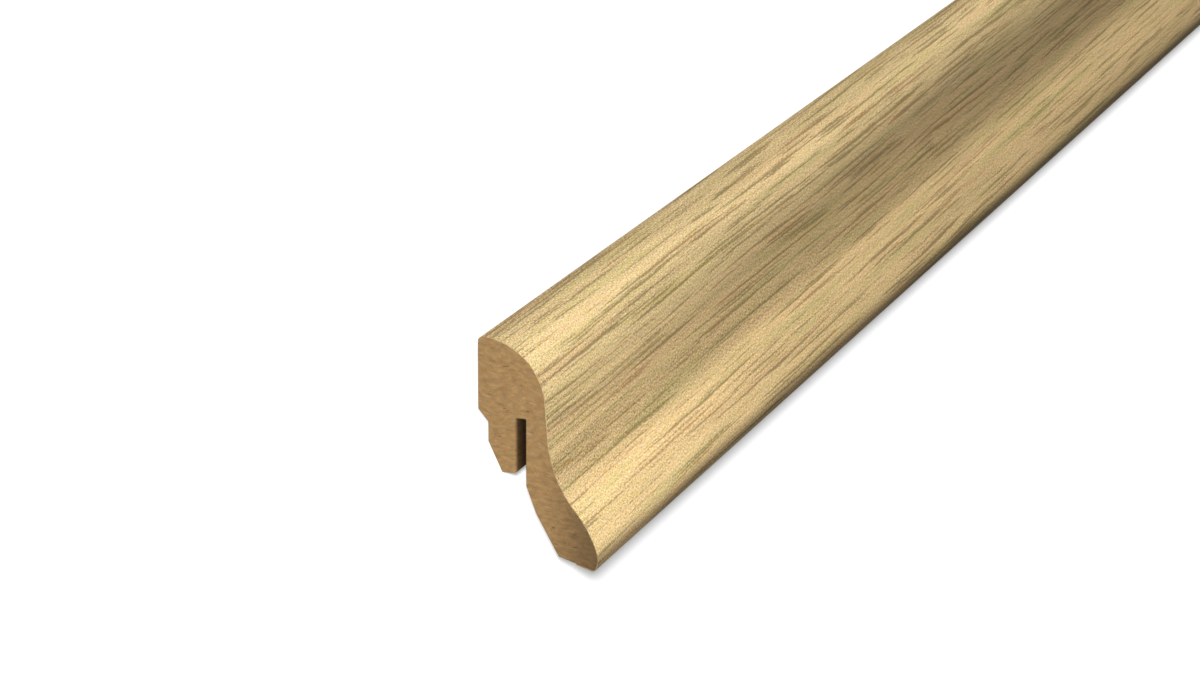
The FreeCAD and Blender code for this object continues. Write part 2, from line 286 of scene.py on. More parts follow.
# %% [markdown]
# ## Pulling the section along
#
# Both pieces are the same idea: a closed outline pulled along the board. A bevelled curve does that
# too, but it can't ease the edges of the cut ends. Here each end gets three copies of the outline,
# the outer ones a little smaller, which makes the small arris that a saw and a wipe of sandpaper
# leave. The foil's grain is printed before the foil is wrapped, so its points also remember where
# they were on the flat sheet: the place along the board and the distance run over the front.

# %% Extrude an outline
HALF = BOARD_LENGTH / 2
TURN = -1.0           # the outlines run clockwise, so inwards is to the right
ARRIS_MIDDLE = 0.3    # where the middle of a rounded arris lies, as a share of its size


def shrunk(outline, inset):
    """A closed outline moved inwards by a small inset, each point along its own bisector."""
    moved = []
    for i, point in enumerate(outline):
        before, after = outline[i - 1], outline[(i + 1) % len(outline)]
        run = (after - before).normalized()
        moved.append(point + Vector((-run.y, run.x)) * inset * TURN)
    return moved


def ring_faces(count, rings):
    """The faces between rings of count points each, closed by one flat face at either end."""
    faces = [tuple(range(count))[::-1]]
    for base in range(0, (rings - 1) * count, count):
        for i in range(count):
            j = (i + 1) % count
            faces.append((base + i, base + j, base + count + j, base + count + i))
    last = (rings - 1) * count
    return faces + [tuple(range(last, last + count))]


def extrude(name, outline, arris, sheet=None):
    """A closed outline pulled along the board, with its end edges eased by a small arris.

    sheet holds the flat sheet's coordinate of each point, where the piece was once flat.
    """
    eased = [(0.0, arris), (arris * ARRIS_MIDDLE, arris * ARRIS_MIDDLE), (arris, 0.0)]
    stations = [(-HALF + step, inset) for step, inset in eased]
    stations += [(HALF - step, inset) for step, inset in reversed(eased)]
    verts = [place(x, p) for x, inset in stations for p in shrunk(outline, inset)]
    mesh = bpy.data.meshes.new(name)
    mesh.from_pydata(verts, [], ring_faces(len(outline), len(stations)))
    if sheet:
        flat = mesh.attributes.new("sheet_mm", "FLOAT_VECTOR", "POINT")
        values = [(x, s, 0.0) for x, _ in stations for s in sheet]
        flat.data.foreach_set("vector", [v for value in values for v in value])
    mesh.validate()
    piece = bpy.data.objects.new(name, mesh)
    bpy.context.scene.collection.objects.link(piece)
    return piece


# %% [markdown]
# ## Smooth curves, crisp edges
#
# Smooth shading hides the facets of the arcs, but it would also smear the milled corners. Marking the
# edges that turn by more than a set angle as sharp keeps both. The two sawn ends stay flat.

# %% Shade a piece and give it its place
END_FACING = 0.999     # how squarely a cut end faces along the board
SHARP_TURN = 28.0      # degrees


def is_end(polygon):
    """Whether a face is one of the two cut ends."""
    return abs(polygon.normal.x) > END_FACING


def sharpen(piece):
    """Smooth shading with sharp lines where faces turn by more than SHARP_TURN, and flat cut ends."""
    mesh = piece.data
    mesh.shade_smooth()
    mesh.set_sharp_from_angle(angle=math.radians(SHARP_TURN))
    for polygon in mesh.polygons:
        polygon.use_smooth = not is_end(polygon)


def seat(piece, node):
    """The piece stands for one node of the frame: it hangs from the root body and the node is hidden."""
    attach(piece, "root")
    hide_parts(node)


# %% [markdown]
# ## The milled core
#
# On the real object this is a strip of MDF run through a moulder. The frame's own core has the same
# section, but a smoothly shaded mesh needs finer arcs and eased edges, so this piece stands for it.

# %% The milled core
MDF_ARRIS = 0.14       # mm

core = extrude("milled_core", core_section, MDF_ARRIS)
sharpen(core)
seat(core, "mdf_core")
print("milled core", len(core.data.polygons), "faces")

# %% [markdown]
# ## The oak foil
#
# The foil is glued on by rollers, from the broken top corner, over the head and down the face, round
# the toe and a little way under the sole.

# %% The oak foil
FOIL_ARRIS = 0.03      # mm


def run_lengths(points):
    """Distance run along a line of points, up to each of them."""
    runs = [0.0]
    for before, after in zip(points, points[1:]):
        runs.append(runs[-1] + (after - before).length)
    return runs


face_runs = run_lengths(foil_section)
foil_outline = foil_section + foil_glue[::-1]
foil = extrude("oak_foil_wrap", foil_outline, FOIL_ARRIS, face_runs + face_runs[::-1])
sharpen(foil)
seat(foil, "decor_foil")
print("foil runs", round(face_runs[-1], 2), "mm over the front")

# %% [markdown]
# ## A small language for finishes
#
# A finish is a tree of nodes. Wiring it by hand hides the idea behind it, so one small class wraps a
# socket and lets Python's own operators add the Math nodes: `1 - mask` or `grain * 0.3` then read
# like the sum they are.

# %% A signal: one socket that can be reckoned with
class Signal:
    """One output of a node. Sums written on it add Math nodes to its tree."""

    def __init__(self, nodes, socket):
        self.nodes = nodes
        self.socket = socket

    def math(self, operation, first, second):
        return self.nodes.node("ShaderNodeMath", {"operation": operation}, {0: first, 1: second})

    def __add__(self, other):
        return self.math("ADD", self, other)

    __radd__ = __add__

    def __sub__(self, other):
        return self.math("SUBTRACT", self, other)

    def __rsub__(self, other):
        return self.math("SUBTRACT", other, self)

    def __mul__(self, other):
        return self.math("MULTIPLY", self, other)

    __rmul__ = __mul__

    def __truediv__(self, other):
        return self.math("DIVIDE", self, other)

    def __rtruediv__(self, other):
        return self.math("DIVIDE", other, self)

    def __abs__(self):
        return self.math("ABSOLUTE", self, 0.0)


def between(share, low, high):
    """low where the share is 0, high where it is 1."""
    return share * (high - low) + low


# %% [markdown]
# ## A tree of nodes
#
# Every node comes from one method that takes its type, its settings and its sockets. The few methods
# after it give plain names to the nodes that are needed over and over: sums on vectors and colours,
# a soft step, a mix of two colours.

# %% Any tree of nodes
MIX_FACTOR = 0      # a Mix node's sockets for colours share their names with others, so numbers tell
MIX_FIRST = 6
MIX_SECOND = 7
MIX_RESULT = 2


class NodeTree:
    """The nodes of a material or of the world."""

    def __init__(self, tree):
        self.tree = tree

    def feed(self, socket, value):
        """Link a signal to a socket, or set a plain value on it."""
        if isinstance(value, Signal):
            self.tree.links.new(value.socket, socket)
        else:
            socket.default_value = value

    def node(self, kind, settings=None, sockets=None, output=0):
        """Any node: its type, its settings, then the values or links of its sockets."""
        made = self.tree.nodes.new(kind)
        for key, value in (settings or {}).items():
            setattr(made, key, value)
        for key, value in (sockets or {}).items():
            self.feed(made.inputs[key], value)
        return Signal(self, made.outputs[output])

    def vector(self, operation, first, second):
        """Vector Math on two vectors or colours; SCALE takes a number second."""
        second_socket = "Scale" if operation == "SCALE" else 1
        sockets = {0: first, second_socket: second}
        return self.node("ShaderNodeVectorMath", {"operation": operation}, sockets)

    def parts(self, vector):
        """The three parts of a vector or a colour."""
        made = self.node("ShaderNodeSeparateXYZ", None, {0: vector}).socket.node
        return [Signal(self, socket) for socket in made.outputs]

    def joined(self, first, second, third=0.0):
        """Numbers as the parts of a vector."""
        return self.node("ShaderNodeCombineXYZ", None, {"X": first, "Y": second, "Z": third})

    def step(self, value, low, high):
        """0 below low, 1 above high, smooth between; low above high turns it round."""
        return self.node("ShaderNodeMapRange", {"interpolation_type": "SMOOTHSTEP"},
                         {"Value": value, "From Min": low, "From Max": high})

    def mix(self, factor, first, second):
        """Two colours mixed by a factor."""
        sockets = {MIX_FACTOR: factor, MIX_FIRST: first, MIX_SECOND: second}
        return self.node("ShaderNodeMix", {"data_type": "RGBA"}, sockets, MIX_RESULT)


# %% [markdown]
# ## A finish
#
# A finish is a material whose nodes are being made. Blender gives each new material a Principled
# shader, which suits wood, paper and board as it is, so a finish mostly feeds that shader's sockets.

# %% A finish
class Finish(NodeTree):
    """A material under construction."""

    def __init__(self, name):
        self.material = bpy.data.materials.new(name)
        self.material.use_nodes = True
        super().__init__(self.material.node_tree)
        self.shader = next(n for n in self.tree.nodes if n.type == "BSDF_PRINCIPLED")

    def dress(self, **sockets):
        """Feed the sockets of the usual shader, with _ for each space in their names."""
        for name, value in sockets.items():
            self.feed(self.shader.inputs[name.replace("_", " ")], value)

    def surface(self, shader):
        """Make another shader the surface, in place of the usual one."""
        output = next(n for n in self.tree.nodes if n.type == "OUTPUT_MATERIAL")
        self.tree.nodes.remove(self.shader)
        self.feed(output.inputs["Surface"], shader)


# %% [markdown]
# ## Noise with a size
#
# Wood and board are uneven at many sizes at once, and each layer is easiest to judge by the size of
# its patches. Blender's noise has one scale for all directions, so the place is divided by a size for
# each axis first. A pattern keeps the numbers of one layer together under a name.

# %% Patterns
HALFWAY = (0.5, 0.5, 0.5)


class Pattern(NamedTuple):
    """Noise: the size of its patches in mm along each axis, a shift that sets it apart, its detail."""
    size: tuple
    shift: tuple = (0, 0, 0)
    detail: float = 2.0
    roughness: float = 0.5
    strength: float = 1.0


def stretch(finish, vector, size, shift):
    """The vector divided by a size along each axis, so that noise of scale 1 has that size."""
    return finish.vector("ADD", finish.vector("DIVIDE", vector, size), shift)


def noise(finish, vector, pattern, output=0):
    """Soft noise from 0 to 1; the output named Color holds three of them."""
    sockets = {"Vector": stretch(finish, vector, pattern.size, pattern.shift), "Scale": 1.0,
               "Detail": pattern.detail, "Roughness": pattern.roughness}
    return finish.node("ShaderNodeTexNoise", {"noise_dimensions": "3D"}, sockets, output)


def uneven(finish, vector, pattern):
    """Noise on both sides of 0, times the pattern's strength."""
    return (noise(finish, vector, pattern) - 0.5) * pattern.strength


def scatter(finish, vector, pattern):
    """Three noises on both sides of 0, as one vector."""
    return finish.vector("SUBTRACT", noise(finish, vector, pattern, "Color"), HALFWAY)


# %% [markdown]
# ## Colours as a maker sees them
#
# Colours are matched on a screen, which shows them on a curve. Shaders reckon in plain amounts
# of light. A helper turns the first into the second, so every colour here can be written as seen.

# %% Paint
SCREEN_WHITE = 255
CURVE_FOOT = 0.04045
FOOT_SLOPE = 12.92
CURVE_LIFT = 0.055
CURVE_POWER = 2.4


def amount(value):
    """One screen value, from 0 to 255, as an amount of light."""
    share = value / SCREEN_WHITE
    if share <= CURVE_FOOT:
        return share / FOOT_SLOPE
    return ((share + CURVE_LIFT) / (1 + CURVE_LIFT)) ** CURVE_POWER


def paint(red, green, blue):
    """A colour as a screen shows it, as the colour that a shader takes."""
    return (amount(red), amount(green), amount(blue), 1.0)


print("middle grey on a screen is", round(amount(SCREEN_WHITE / 2), 3), "of white's light")

# %% [markdown]
# ## Marks scattered over a sheet
#
# The pores of oak and the specks in MDF are the same kind of thing: slender marks, each with its own
# place, length and strength. Noise alone gives soft blotches, so each cell of a Voronoi texture gets
# one lens-shaped mark instead. The distance from the cell's own point gives the shape, and the cell's
# random colour gives the mark its luck and its length.

# %% Slivers
SHORTEST = 0.4         # the shortest mark, as a share of a pattern's reach
MARK_EDGE = 0.8        # how softly a mark ends
SHADE_SPREAD = 3.2     # how many times wider the soft shade beside it is


class Marks(NamedTuple):
    """Lens-shaped marks, one in each room of a sheet; lengths in mm."""
    room: tuple                    # space of one mark, along and across
    reach: float                   # half the length of a mark, more or less
    breadth: float                 # half its width
    shift: tuple                   # sets one pattern apart from another
    strength: float
    luck: tuple = (-0.3, 0.6)      # marks with less luck than the first fade out
    shade: float = 0.4             # strength of the soft shade on one side


def slivers(finish, sheet, marks):
    """How strong the marks are at each point of a sheet."""
    room = (*marks.room, 1.0)
    spread = stretch(finish, sheet, room, marks.shift)
    settings = {"voronoi_dimensions": "2D"}
    inputs = {"Vector": spread, "Scale": 1.0, "Randomness": 1.0}
    centre = finish.node("ShaderNodeTexVoronoi", settings, inputs, "Position")
    chance = finish.node("ShaderNodeTexVoronoi", settings, inputs, "Color")
    away = finish.vector("MULTIPLY", finish.vector("SUBTRACT", spread, centre), room)
    along, across, _ = finish.parts(away)
    luck, length, _ = finish.parts(chance)
    run = abs(along) / ((length + SHORTEST) * marks.reach)
    taper = 1 - run * run * run
    mark = finish.step(taper - abs(across) / marks.breadth, 0.0, MARK_EDGE)
    beside = abs(across + marks.breadth) / (marks.breadth * SHADE_SPREAD)
    shade = finish.step(taper - beside, 0.0, 1.0) * marks.shade
    return (mark + shade) * finish.step(luck, *marks.luck) * marks.strength


# %% [markdown]
# ## Oak print: where the grain runs
#
# The decor is a photograph of oak printed on a matt foil, so it knows nothing of the moulding's shape
# and lies flat on the sheet. An image texture would be the usual way. Made from nodes instead, it
# never repeats over the 2.4 metres. Real grain isn't parallel to the board: it runs a little askew,
# drifts over a hand's breadth and sways over a finger's. All other layers are laid along that grain.

# %% Where the grain runs
GRAIN_SLANT = 0.010
DRIFT = Pattern((130, 12, 1), detail=1.0, strength=2.6)
SWAY = Pattern((15, 2.6, 1), (3, 7, 0), strength=0.5)


def oak_grain(finish, sheet):
    """The place of each point along the wandering grain."""
    along, distance, _ = finish.parts(sheet)
    askew = distance + (along + HALF) * GRAIN_SLANT
    across = askew + uneven(finish, sheet, DRIFT) + uneven(finish, sheet, SWAY)
    return finish.joined(along, across)


print("over the whole board the grain climbs", GRAIN_SLANT * BOARD_LENGTH, "mm")


# %% [markdown]
# ## Oak print: the pores
#
# Cut lengthwise, the big pores of oak show as olive-brown streaks. They come in all lengths, crowd
# together in places, and their ink breaks up into grains. Three sizes of slivers give the lengths,
# and two noises thin them out. They are a little stronger round the head than lower down.

# %% Pore streaks
LONG_PORES = Marks((80, 2.1), 44, 0.28, (0, 0, 0), 0.62)
SHORT_PORES = Marks((46, 1.6), 24, 0.22, (7.3, 4.1, 0), 0.50)
FINE_PORES = Marks((20, 0.8), 10, 0.16, (2.7, 9.4, 0), 0.26)
PORE_SIZES = (LONG_PORES, SHORT_PORES, FINE_PORES)
CROWDING = Pattern((70, 4, 1), (1, 8, 0), detail=1.0)
CROWD_EDGES = (0.35, 0.6)
FEW_TO_MANY = (0.6, 1.0)
HEAD_TO_FACE = (12.0, 28.0)      # mm over the front
HEAD_TO_FACE_PORES = (1.25, 0.95)
INK_GRAIN = Pattern((1.2, 0.26, 1), (5, 1, 0), detail=1.0)
INK_EDGES = (0.66, 0.38)
WORN_TO_FULL_INK = (0.4, 1.0)
INK_RANGE = (0.06, 0.50)
DARKEST_INK = 0.64


def pore_streaks(finish, grain, distance):
    """How much of the streak colour each point has."""
    pores = sum(slivers(finish, grain, marks) for marks in PORE_SIZES)
    crowd = between(finish.step(noise(finish, grain, CROWDING), *CROWD_EDGES), *FEW_TO_MANY)
    from_head = between(finish.step(distance, *HEAD_TO_FACE), *HEAD_TO_FACE_PORES)
    ink = between(finish.step(noise(finish, grain, INK_GRAIN), *INK_EDGES), *WORN_TO_FULL_INK)
    return finish.step(pores * crowd * from_head * ink, *INK_RANGE) * DARKEST_INK


print("the three sizes of pores are about", [2 * marks.reach for marks in PORE_SIZES], "mm long")


# %% [markdown]
# ## Oak print: the ground colour
#
# Between the pores the ground is beige near the head and more honey-coloured lower down, with long
# clouds of a pinker and a more olive tone. A fine coloured dust over it stands for the dots of ink.

# %% Ground colour
OAK = paint(209, 184, 135)
HONEY = paint(212, 184, 133)
OLIVE = paint(198, 178, 124)
BLUSH = paint(214, 182, 134)
OAK_TO_HONEY = (16.0, 27.0)      # mm across the grain
HUE = Pattern((90, 2.4, 1), (9, 3, 0))
BLUSH_EDGES = (0.5, 0.66)
BLUSH_SHARE = 0.75
OLIVE_EDGES = (0.48, 0.33)
OLIVE_SHARE = 0.85
DUST = Pattern((0.8, 0.6, 1))
DUST_TINT = (0.2, 0.05, 1.1)     # red, green and blue
UNCHANGED = (1, 1, 1)


def oak_ground(finish, sheet, grain, across):
    """The colour of the print between its streaks, before its light and dark."""
    hue = noise(finish, grain, HUE)
    ground = finish.mix(finish.step(across, *OAK_TO_HONEY), OAK, HONEY)
    ground = finish.mix(finish.step(hue, *BLUSH_EDGES) * BLUSH_SHARE, ground, BLUSH)
    ground = finish.mix(finish.step(hue, *OLIVE_EDGES) * OLIVE_SHARE, ground, OLIVE)
    tint = finish.vector("MULTIPLY", scatter(finish, sheet, DUST), DUST_TINT)
    return finish.vector("MULTIPLY", ground, finish.vector("ADD", tint, UNCHANGED))


# %% [markdown]
# ## Oak print: light and dark
#
# Four layers of noise along the grain, from broad clouds to short ticks, make the wood lighter and
# darker. A few broad bands at fixed places over the front, darker on the head's top and in the cove and
# lighter on the head's shoulder and the swell, are partly the print's own bands and partly painted light
# and shade of the moulding's shape. The last layer is a fine sand that ignores the grain.

# %% Light and dark
LIGHTNESS = 1.07
# broad bands: partly the print's own, partly painted light and shade of the head, cove and swell
PRINT_AND_SHADE_BANDS = (                  # middle and half width in mm across the grain, gain
    (2.5, 5.0, -0.24),
    (9.4, 3.6, 0.24),
    (29.5, 8.5, -0.22),
    (37.5, 6.5, 0.10),
)
CLOUDS = Pattern((260, 6.0, 1), (11, 2, 0), detail=1.0, strength=0.6)
BANDS = Pattern((140, 2.0, 1), (2, 5, 0), detail=1.0, strength=0.32)
FIBRES = Pattern((30, 0.36, 1), (8, 4, 0), strength=0.34)
TICKS = Pattern((1.6, 0.30, 1), (4, 4, 0), detail=1.0, roughness=0.6, strength=0.6)
SAND = Pattern((0.46, 0.36, 1), (6, 6, 0), detail=1.0, roughness=0.7)
SAND_CONTRAST = 2.2


def oak_tone(finish, grain, across, sand):
    """How light the print is at each point; 1 leaves its colour as it is."""
    tone = sand * SAND_CONTRAST + LIGHTNESS
    # the broad bands add painted light and shade as well as print
    for middle, reach, gain in PRINT_AND_SHADE_BANDS:
        tone = tone + finish.step(abs(across - middle), reach, 0.0) * gain
    for layer in (CLOUDS, BANDS, FIBRES, TICKS):
        tone = tone + uneven(finish, grain, layer)
    return tone


print("sizes of the layers in mm", [layer.size[:2] for layer in (CLOUDS, BANDS, FIBRES, TICKS, SAND)])


# %% [markdown]
# ## Oak print: the whole finish
#
# The layers come together here. The toe, and the first millimetre at the top, carry painted shade:
# they are painted darker than the lamps alone make them. The foil is matt: hardly any gloss, and a
# relief far finer than the print.
# The strength of the gloss is the same all over, so it is set straight on the shader's socket.

# %% The oak print
STREAK = paint(108, 92, 54)
RUSTY_STREAK = paint(142, 98, 54)
RUSTY = Pattern((60, 1.6, 1), (4, 9, 0), detail=1.0)
RUSTY_EDGES = (0.52, 0.66)
# painted shade on the toe, where it turns away from the light
TOE_EDGES = (43.6, 47.0)         # mm over the front
TOE_PAINTED_SHADE = 0.62
# painted shade on the first millimetre at the top, the rounded edge
TOP_EDGES = (1.6, 0.4)
TOP_PAINTED_SHADE = 0.15
SAND_RELIEF = 0.8
PORE_RELIEF = 0.6
FOIL_BUMP = 0.2
FOIL_RELIEF = 0.00005            # metres
FOIL_ROUGHNESS = 0.55
SAND_ROUGHNESS = 0.3
FOIL_GLOSS = 0.02


def bump(finish, height, strength, distance):
    """The normal of a surface with a fine relief."""
    sockets = {"Strength": strength, "Distance": distance, "Height": height}
    return finish.node("ShaderNodeBump", None, sockets)


def oak_print():
    finish = Finish("oak_print")
    sheet = finish.node("ShaderNodeAttribute", {"attribute_name": "sheet_mm"}, output="Vector")
    distance = finish.parts(sheet)[1]
    grain = oak_grain(finish, sheet)
    across = finish.parts(grain)[1]
    sand = uneven(finish, sheet, SAND)
    dark = pore_streaks(finish, grain, distance)

    ground = oak_ground(finish, sheet, grain, across)
    ground = finish.vector("SCALE", ground, oak_tone(finish, grain, across, sand))
    rust = finish.step(noise(finish, grain, RUSTY), *RUSTY_EDGES)
    colour = finish.mix(dark, ground, finish.mix(rust, STREAK, RUSTY_STREAK))
    # the toe and the top edge are painted darker, as shade
    toe = finish.step(distance, *TOE_EDGES) * TOE_PAINTED_SHADE
    top = finish.step(distance, *TOP_EDGES) * TOP_PAINTED_SHADE
    colour = finish.vector("SCALE", colour, 1 - toe - top)

    height = sand * SAND_RELIEF - dark * PORE_RELIEF
    normal = bump(finish, height, FOIL_BUMP, FOIL_RELIEF)
    roughness = sand * SAND_ROUGHNESS + FOIL_ROUGHNESS
    finish.dress(Base_Color=colour, Roughness=roughness, Normal=normal)
    finish.dress(Specular_IOR_Level=FOIL_GLOSS)
    return finish.material


# %% [markdown]
# ## MDF: its own coordinates
#
# MDF shows its inside, so its pattern has to run through the whole piece like the fibre does, and a
# flat sheet is no help. A finish can read each point's place in the object instead. Turned back into
# the section's own directions, the place tells how far out and how high a point is on the board.

# %% Where a point lies in the section
def section_place(finish):
    """The place in mm along the board, out from the wall and up from the floor, whole and in parts."""
    here = finish.node("ShaderNodeTexCoord", output="Object")
    moved = finish.vector("SUBTRACT", here, SHIFT)
    parts = [
        finish.node("ShaderNodeVectorMath", {"operation": "DOT_PRODUCT"}, {0: moved, 1: axis / MM}, "Value")
        for axis in (ALONG, OUT, UP)
    ]
    return finish.joined(*parts), parts


# %% [markdown]
# ## MDF: pressed fibre
#
# MDF is pressed wood fibre: brown and even. Towards the foot of this board it is painted a little
# darker, as painted shade. Close up it is mottled, with rusty and straw-coloured patches, specks of bark
# and pale chips. The fibre lies in layers, a little askew to the section, so each patch is longer along
# them than through them. Three-dimensional noise gives that, and it meets round the edges of the cut end
# without a seam.

# %% Pressed fibre
MDF = paint(168, 134, 89)
RUST = paint(184, 128, 74)
STRAW = paint(188, 158, 100)
BARK = paint(96, 68, 40)
PALE_CHIP = paint(208, 184, 150)
MDF_LIGHTNESS = 1.06

FIBRE_TURN = 10.0                # degrees
BEND = Pattern((9, 7, 7), detail=1.0)
BEND_REACH = 3.0
MOTTLE = Pattern((5, 1.7, 0.7))
FIBRE = Pattern((2, 0.9, 0.3), (3, 1, 2), roughness=0.6)
GRIT = Pattern((0.4, 0.26, 0.26), (3, 1, 2), detail=1.0)
FIBRE_CONTRAST = 0.4
GRIT_CONTRAST = 0.4
PATCH = Pattern((6, 1.4, 0.6), (7, 7, 1))
RUST_EDGES = (0.55, 0.70)
RUST_SHARE = 0.5
STRAW_EDGES = (0.42, 0.28)
STRAW_SHARE = 0.4
BARK_SPECKS = Marks((4.2, 2.8), 0.8, 0.15, (0, 0, 0), 0.7, luck=(0.6, 0.8), shade=0.0)
CHIP_SPECKS = Marks((2.6, 1.8), 0.8, 0.20, (3, 8, 0), 0.35, luck=(0.5, 0.9), shade=0.0)
# painted shade towards the foot of the board
FOOT_EDGES = (9.5, 22.0)         # mm out from the wall
FOOT_PAINTED_SHADE = 0.60


def pressed_fibre(finish, here, out):
    """The colour of MDF, with painted shade towards the foot, and its mottle, fibre and grit for a relief.
    """
    turned = finish.node("ShaderNodeVectorRotate", {"rotation_type": "X_AXIS"},
                         {"Vector": here, "Angle": math.radians(FIBRE_TURN)})
    bend = finish.vector("SCALE", scatter(finish, here, BEND), BEND_REACH)
    flow = finish.vector("ADD", turned, bend)
    mottle = uneven(finish, flow, MOTTLE)
    fibre = uneven(finish, flow, FIBRE)
    grit = uneven(finish, here, GRIT)

    tone = mottle + fibre * FIBRE_CONTRAST + grit * GRIT_CONTRAST + MDF_LIGHTNESS
    colour = finish.vector("SCALE", MDF[:3], tone)
    patch = noise(finish, flow, PATCH)
    colour = finish.mix(finish.step(patch, *RUST_EDGES) * RUST_SHARE, colour, RUST)
    colour = finish.mix(finish.step(patch, *STRAW_EDGES) * STRAW_SHARE, colour, STRAW)
    _, flow_out, flow_up = finish.parts(flow)
    cut = finish.joined(flow_out, flow_up)
    colour = finish.mix(slivers(finish, cut, BARK_SPECKS), colour, BARK)
    colour = finish.mix(slivers(finish, cut, CHIP_SPECKS), colour, PALE_CHIP)
    # the foot is painted darker, as shade
    foot = finish.step(out, *FOOT_EDGES) * FOOT_PAINTED_SHADE
    return finish.vector("SCALE", colour, 1 - foot), (mottle, fibre, grit)


# %% [markdown]
# ## MDF: the sawn end
#
# A saw tears the fibres a little, so the cut end is rough and its relief follows the fibre and the
# mottle. A bump is enough for this: the real marks are a few hundredths of a millimetre deep.

# %% The sawn end
MDF_GLOSS = 0.25
MDF_ROUGHNESS = 0.82
MDF_RELIEF = 0.0001              # metres
SAWN_BUMP = 0.35
SAWN_FIBRE = 0.8
SAWN_MOTTLE = 0.5
SAWN_GRIT = 0.4


def bare_mdf(finish, colour, height, strength):
    """Dress the shader as dull bare board with a relief."""
    normal = bump(finish, height, strength, MDF_RELIEF)
    finish.dress(Base_Color=colour, Roughness=MDF_ROUGHNESS, Normal=normal)
    finish.dress(Specular_IOR_Level=MDF_GLOSS)
    return finish.material


def sawn_end():
    finish = Finish("mdf_sawn_end")
    here, (_, out, _) = section_place(finish)
    colour, (mottle, fibre, grit) = pressed_fibre(finish, here, out)
    height = fibre * SAWN_FIBRE + mottle * SAWN_MOTTLE + grit * SAWN_GRIT
    return bare_mdf(finish, colour, height, SAWN_BUMP)


# %% [markdown]
# ## MDF: the milled faces
#
# The cutters leave the long faces smoother, with fine lines along the board where a knife had a nick
# and a faint ripple across it, one wave for each knife that passed. The inside of the slot is painted
# darker as painted shade: a little at its mouth by the cut end, more deep inside.

# %% The milled faces
MILLED_BUMP = 0.25
MILLED_FIBRE = 0.3
CUTTER_LINES = Pattern((900, 0.14, 0.14), (2, 2, 2))
LINE_DEPTH = 0.7
KNIFE_PITCH = 1.6                # mm
KNIFE_DEPTH = 0.12
SLOT_MIDDLE = SLOT_DEPTH_FROM_WALL + SLOT_WIDTH / 2
SLOT_SIDE_EDGES = (1.3, 0.9)     # mm from the slot's middle
SLOT_MOUTH_EDGES = (tip_up - 0.3, tip_up + 0.5)    # mm above the floor
SLOT_ROOT_EDGES = (root_up + 1, root_up)
DEEP_EDGES = (0.4, 5.0)          # mm in from a cut end
# painted shade inside the slot
SLOT_PAINTED_SHADE = (0.3, 0.8)      # at the cut end and deep inside


def milled_face():
    finish = Finish("mdf_milled_face")
    here, (along, out, up) = section_place(finish)
    colour, (_, fibre, _) = pressed_fibre(finish, here, out)

    sides = finish.step(abs(out - SLOT_MIDDLE), *SLOT_SIDE_EDGES)
    inside = sides * finish.step(up, *SLOT_MOUTH_EDGES) * finish.step(up, *SLOT_ROOT_EDGES)
    deep = finish.step(HALF - abs(along), *DEEP_EDGES)
    # the inside of the slot is painted darker, as shade
    colour = finish.vector("SCALE", colour, 1 - inside * between(deep, *SLOT_PAINTED_SHADE))

    lines = noise(finish, here, CUTTER_LINES)
    waves = along * (math.tau / KNIFE_PITCH)
    knife = finish.node("ShaderNodeMath", {"operation": "SINE"}, {0: waves})
    height = fibre * MILLED_FIBRE + lines * LINE_DEPTH + knife * KNIFE_DEPTH
    return bare_mdf(finish, colour, height, MILLED_BUMP)


# %% [markdown]
# ## The foil's cut edge
#
# Where the foil is cut its paper shows, paler than the MDF, with a trace of brown glue. Only a thin
# line of it is ever seen, so a mix of two colours and one noise are enough, with painted shade
# towards the foot like the MDF's.

# %% The foil's cut edge
PAPER = paint(222, 196, 148)
GLUE = paint(190, 158, 108)
GLUE_STAIN = Pattern((0.9, 0.7, 0.7))
STAIN_EDGES = (0.35, 0.65)
EDGE_FOOT_EDGES = (14.0, 21.6)   # mm out from the wall
# painted shade towards the foot of the board
EDGE_FOOT_PAINTED_SHADE = 0.55
PAPER_ROUGHNESS = 0.8


def foil_edge():
    finish = Finish("foil_cut_edge")
    here, (_, out, _) = section_place(finish)
    stain = finish.step(noise(finish, here, GLUE_STAIN), *STAIN_EDGES)
    # the foot of the cut edge is painted darker, as shade
    foot = finish.step(out, *EDGE_FOOT_EDGES) * EDGE_FOOT_PAINTED_SHADE
    colour = finish.vector("SCALE", finish.mix(stain, PAPER, GLUE), 1 - foot)
    finish.dress(Base_Color=colour, Roughness=PAPER_ROUGHNESS)
    return finish.material


# %% [markdown]
# ## Finishes on their faces
#
# A mesh holds a list of materials, and each face the number of one of them. On the core the two cut
# ends are sawn and all else is milled. On the foil the printed faces are known by their points: each
# ring of points runs over the printed face first and back over the glued side.

# %% Put the finishes on their faces
core.data.materials.append(sawn_end())
core.data.materials.append(milled_face())
for polygon in core.data.polygons:
    polygon.material_index = 0 if is_end(polygon) else 1

foil.data.materials.append(oak_print())
foil.data.materials.append(foil_edge())
printed = len(foil_section) - 1
for polygon in foil.data.polygons:
    first_in_ring = min(polygon.vertices) % len(foil_outline)
    shows_print = not is_end(polygon) and first_in_ring < printed
    polygon.material_index = 0 if shows_print else 1
print("finishes and their nodes", [(m.name, len(m.node_tree.nodes)) for m in bpy.data.materials])

# %% [markdown]
# ## Camera
#
# The picture looks along the board from its near end, turned a little towards the wall and down. All
# of that is written for the mounted board, and the turn that laid the board down carries the camera
# with it, so the view of the board is the same. A Track To constraint would do for the aim, but not
# for the roll, so the camera's three directions are worked out and written as a matrix.

